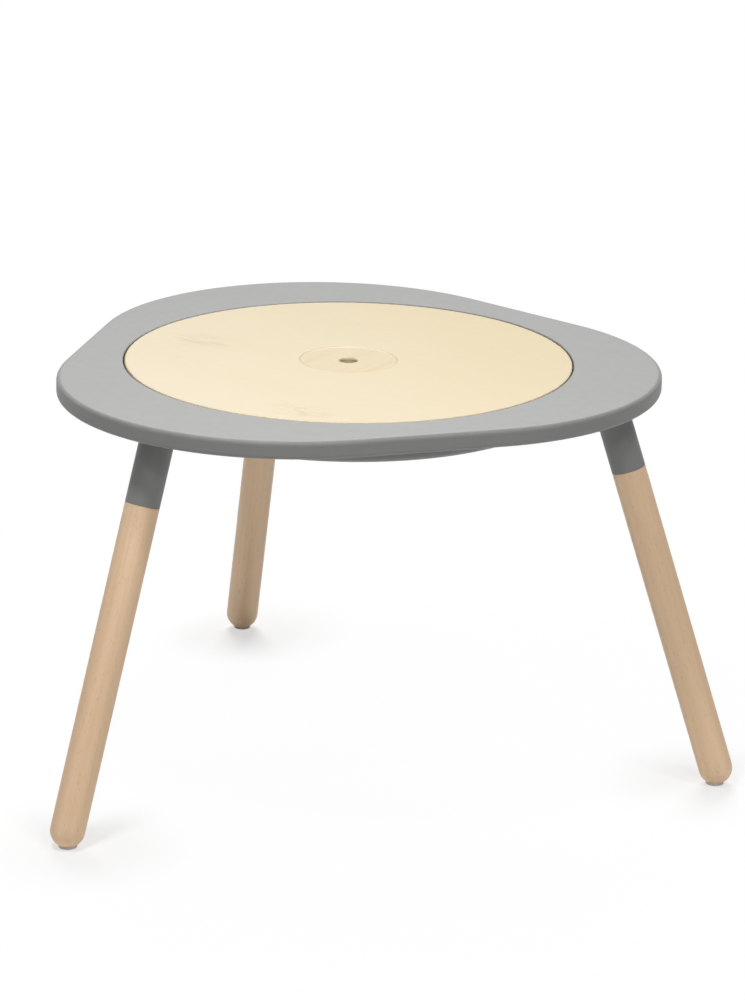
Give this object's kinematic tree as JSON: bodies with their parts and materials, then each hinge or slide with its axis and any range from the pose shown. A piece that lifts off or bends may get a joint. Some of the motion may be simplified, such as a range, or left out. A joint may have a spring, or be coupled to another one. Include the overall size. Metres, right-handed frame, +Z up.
{
  "type": "kids table",
  "caption": "Low play table for small children: lobed grey ring top with a lift-out round plywood disc over a shallow storage bowl, on splayed round wooden legs.",
  "frame": {"origin": "on the floor, under the middle of the round top", "axes": "+Z up along the top's axis; +Y towards the back leg; the two front legs lie at +X and -X, towards -Y"},
  "size_m": [0.7826, 0.7513, 0.46],
  "materials": {
    "grey_plastic": "satin moulded, fine grain",
    "birch_plywood": "clear matt lacquer",
    "beech": "clear matt lacquer",
    "pad_rubber": "soft matt",
    "glide_plastic": "smooth",
    "steel": "zinc plated",
    "brass": "plain"
  },
  "bodies": {
    "table": {"tabletop_ring": "grey_plastic", "underside_cover": "grey_plastic", "storage_bowl": "grey_plastic", "disc_rest_pads": "pad_rubber", "back_leg": "beech", "back_leg_socket": "grey_plastic", "back_leg_bolt": "steel", "back_leg_insert": "brass", "back_foot_glide": "glide_plastic", "left_leg": "beech", "left_leg_socket": "grey_plastic", "left_leg_bolt": "steel", "left_leg_insert": "brass", "left_foot_glide": "glide_plastic", "right_leg": "beech", "right_leg_socket": "grey_plastic", "right_leg_bolt": "steel", "right_leg_insert": "brass", "right_foot_glide": "glide_plastic", "glide_screws": "steel", "socket_screws": "steel", "cover_screws": "steel", "bowl_screws": "steel"},
    "disc": {"tabletop_disc": "birch_plywood"}
  },
  "joints": [
    {"name": "disc_lift", "type": "slide", "parent": "table", "child": "disc", "axis": [0, 0, 1], "range_m": [0, 0.15]}
  ]
}
